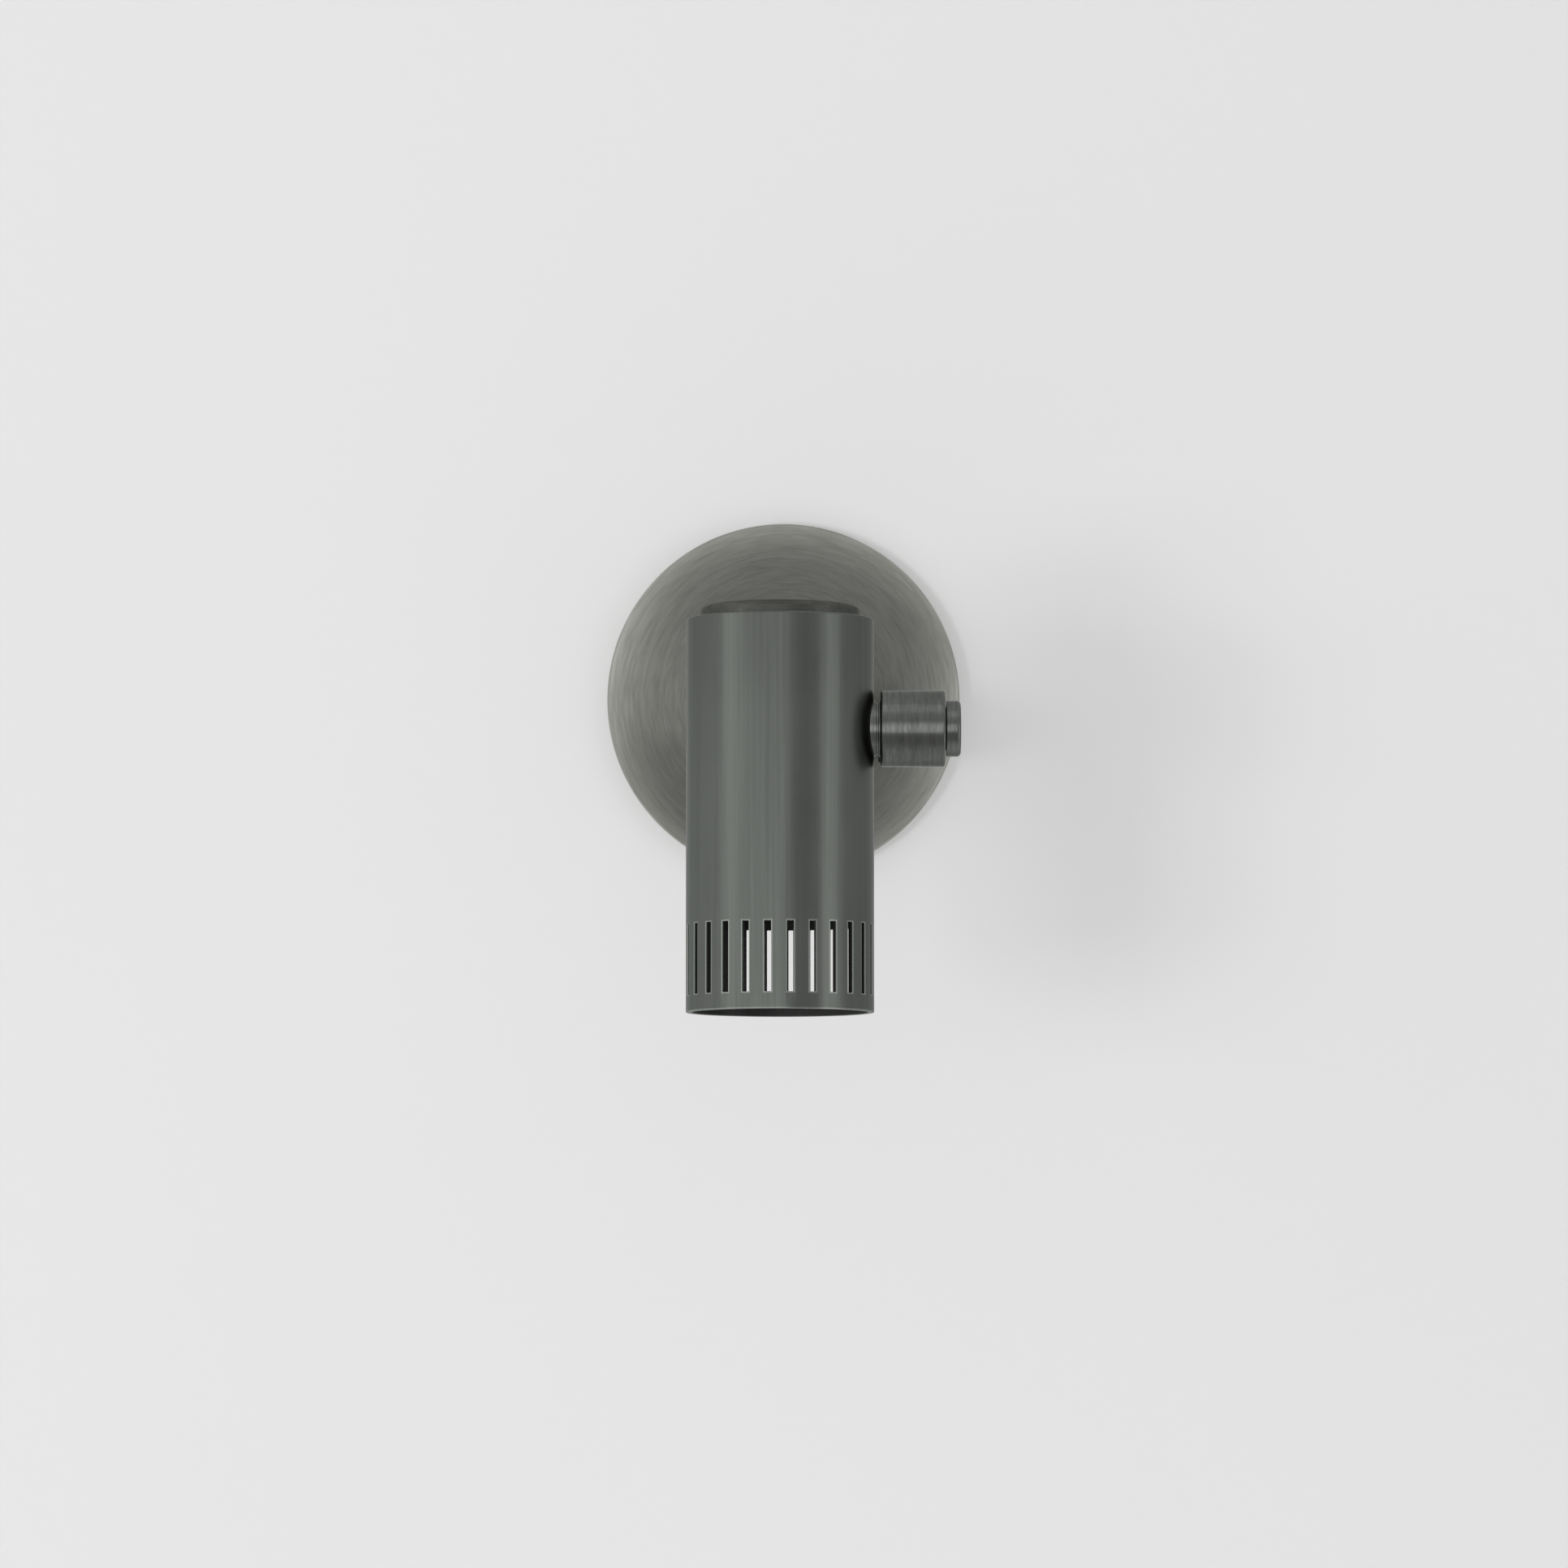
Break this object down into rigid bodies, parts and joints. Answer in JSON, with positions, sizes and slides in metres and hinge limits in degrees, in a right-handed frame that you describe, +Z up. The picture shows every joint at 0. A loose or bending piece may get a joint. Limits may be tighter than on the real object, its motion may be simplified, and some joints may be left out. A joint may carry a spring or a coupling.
{
  "type": "swing arm wall lamp",
  "caption": "Wall lamp with a round domed plate, a straight swinging arm and a slotted cylinder shade that tilts on a side knuckle.",
  "frame": {"origin": "centre of the wall plate's back, on the wall surface, midway between the box screws", "axes": "+Z up, +X to the viewer's right, +Y into the wall, so the lamp stands out along -Y"},
  "size_m": [0.127, 0.214, 0.1732],
  "materials": {
    "plate_pewter": "dark pewter, brushed in rings",
    "shade_pewter": "dark pewter, brushed lengthwise",
    "cap_pewter": "dark pewter, fine turned brushing",
    "knuckle_pewter": "dark pewter, turned brushing",
    "arm_pewter": "dark pewter, brushed lengthwise",
    "zinc_steel": "bright zinc",
    "black_steel": "blackened",
    "brass": "bare",
    "earth_green": "green dye",
    "bush_nylon": "natural nylon",
    "block_plastic": "white polyamide",
    "lead_black": "insulation",
    "lead_white": "insulation",
    "lead_green": "insulation",
    "lead_sleeve": "heatproof sleeve",
    "holder_ceramic": "unglazed",
    "lamp_shell": "satin",
    "lens_glass": "frosted",
    "ring_black": "matt black"
  },
  "bodies": {
    "wall_mount": {"canopy_dome": "plate_pewter", "mounting_crossbar": "zinc_steel", "canopy_set_screws": "black_steel", "terminal_block": "block_plastic", "terminal_screws": "brass", "terminal_block_screw": "zinc_steel", "ground_lug": "zinc_steel", "ground_screw": "earth_green", "lead_live": "lead_black", "lead_neutral": "lead_white", "lead_ground": "lead_green", "swing_foot": "knuckle_pewter", "foot_saddle": "zinc_steel", "foot_lock_washer": "zinc_steel", "foot_nut": "zinc_steel", "swing_pin": "knuckle_pewter"},
    "arm": {"arm_root": "knuckle_pewter", "arm_tube": "arm_pewter", "root_grub_screws": "black_steel", "barrel_grub_screw": "black_steel", "swing_bushes": "bush_nylon", "tilt_barrel": "knuckle_pewter", "barrel_bushes": "brass", "arm_leads": "lead_sleeve"},
    "head": {"tilt_spindle": "zinc_steel", "neck_collar": "knuckle_pewter", "spring_washer": "black_steel", "spindle_nut": "zinc_steel", "end_cap": "cap_pewter", "shade_saddle": "zinc_steel", "shade_nut": "zinc_steel", "shade_tube": "shade_pewter", "top_cap": "cap_pewter", "cap_stud": "zinc_steel", "stud_nuts": "zinc_steel", "holder_plate": "zinc_steel", "holder_screws": "zinc_steel", "lamp_holder": "holder_ceramic", "lamp_body": "lamp_shell", "lamp_lens": "lens_glass", "lamp_pins": "brass", "lamp_ring": "ring_black", "head_leads": "lead_sleeve"}
  },
  "joints": [
    {"name": "arm_swing", "type": "hinge", "parent": "wall_mount", "child": "arm", "pos_m": [0.0437, -0.034, -0.0115], "axis": [0, 0, 1], "range_deg": [-60, 90]},
    {"name": "shade_tilt", "type": "hinge", "parent": "arm", "child": "head", "pos_m": [0.0437, -0.175, -0.0115], "axis": [-1, 0, 0], "range_deg": [-49.4, 85.6]}
  ]
}
